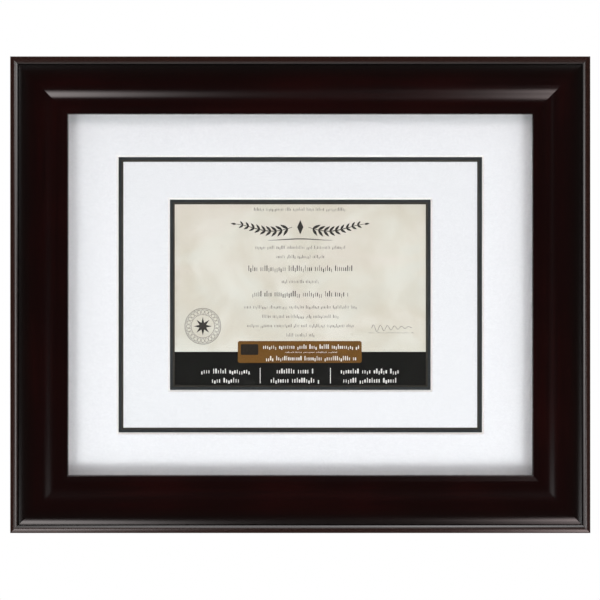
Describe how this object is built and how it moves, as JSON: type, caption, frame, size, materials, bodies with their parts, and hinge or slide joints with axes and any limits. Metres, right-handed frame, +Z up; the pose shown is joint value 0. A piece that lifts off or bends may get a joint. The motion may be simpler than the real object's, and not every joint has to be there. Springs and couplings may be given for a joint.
{
  "type": "certificate frame",
  "caption": "Landscape certificate frame of mitred dark wood moulding with glass, layered white and black mats, a backing board held by turn buttons, and sawtooth hangers.",
  "frame": {"origin": "where the wall nail bears in the centre notch of the landscape sawtooth hanger, in the plane of the rails' backs", "axes": "+Z up, +Y towards the wall, so the front faces -Y, and +X to the viewer's right"},
  "size_m": [0.4274, 0.0272, 0.3511],
  "materials": {
    "rail_lacquer": "dark mahogany satin lacquer",
    "zinc_steel": "zinc plated",
    "clear_glass": "clear polished",
    "white_board": "matt white mat board",
    "black_board": "matt black mat board",
    "cream_paper": "printed cream paper",
    "hardboard": "smooth brown hardboard"
  },
  "bodies": {
    "frame": {"rail_top": "rail_lacquer", "rail_bottom": "rail_lacquer", "rail_left": "rail_lacquer", "rail_right": "rail_lacquer", "corner_v_nails": "zinc_steel", "glass_pane": "clear_glass", "mat_outer_white": "white_board", "mat_outer_black": "black_board", "mat_inner_white": "white_board", "mat_inner_black": "black_board", "insert_sheet": "cream_paper", "backing_board": "hardboard", "turn_button_screws": "zinc_steel", "hanger_landscape": "zinc_steel", "hanger_portrait": "zinc_steel", "hanger_nails": "zinc_steel"},
    "turn_button_top_left": {"turn_button_top_left": "zinc_steel"},
    "turn_button_top_right": {"turn_button_top_right": "zinc_steel"},
    "turn_button_bottom_left": {"turn_button_bottom_left": "zinc_steel"},
    "turn_button_bottom_right": {"turn_button_bottom_right": "zinc_steel"},
    "turn_button_left_lower": {"turn_button_left_lower": "zinc_steel"},
    "turn_button_left_upper": {"turn_button_left_upper": "zinc_steel"},
    "turn_button_right_lower": {"turn_button_right_lower": "zinc_steel"},
    "turn_button_right_upper": {"turn_button_right_upper": "zinc_steel"}
  },
  "joints": [
    {"name": "turn_top_left", "type": "hinge", "parent": "frame", "child": "turn_button_top_left", "pos_m": [-0.11, 0.00065, -0.00805], "axis": [0, 1, 0], "continuous": true},
    {"name": "turn_top_right", "type": "hinge", "parent": "frame", "child": "turn_button_top_right", "pos_m": [0.11, 0.00065, -0.00805], "axis": [0, 1, 0], "continuous": true},
    {"name": "turn_bottom_left", "type": "hinge", "parent": "frame", "child": "turn_button_bottom_left", "pos_m": [-0.11, 0.00065, -0.30705], "axis": [0, 1, 0], "continuous": true},
    {"name": "turn_bottom_right", "type": "hinge", "parent": "frame", "child": "turn_button_bottom_right", "pos_m": [0.11, 0.00065, -0.30705], "axis": [0, 1, 0], "continuous": true},
    {"name": "turn_left_lower", "type": "hinge", "parent": "frame", "child": "turn_button_left_lower", "pos_m": [-0.1876, 0.00065, -0.23255], "axis": [0, 1, 0], "continuous": true},
    {"name": "turn_left_upper", "type": "hinge", "parent": "frame", "child": "turn_button_left_upper", "pos_m": [-0.1876, 0.00065, -0.08255], "axis": [0, 1, 0], "continuous": true},
    {"name": "turn_right_lower", "type": "hinge", "parent": "frame", "child": "turn_button_right_lower", "pos_m": [0.1876, 0.00065, -0.23255], "axis": [0, 1, 0], "continuous": true},
    {"name": "turn_right_upper", "type": "hinge", "parent": "frame", "child": "turn_button_right_upper", "pos_m": [0.1876, 0.00065, -0.08255], "axis": [0, 1, 0], "continuous": true}
  ]
}
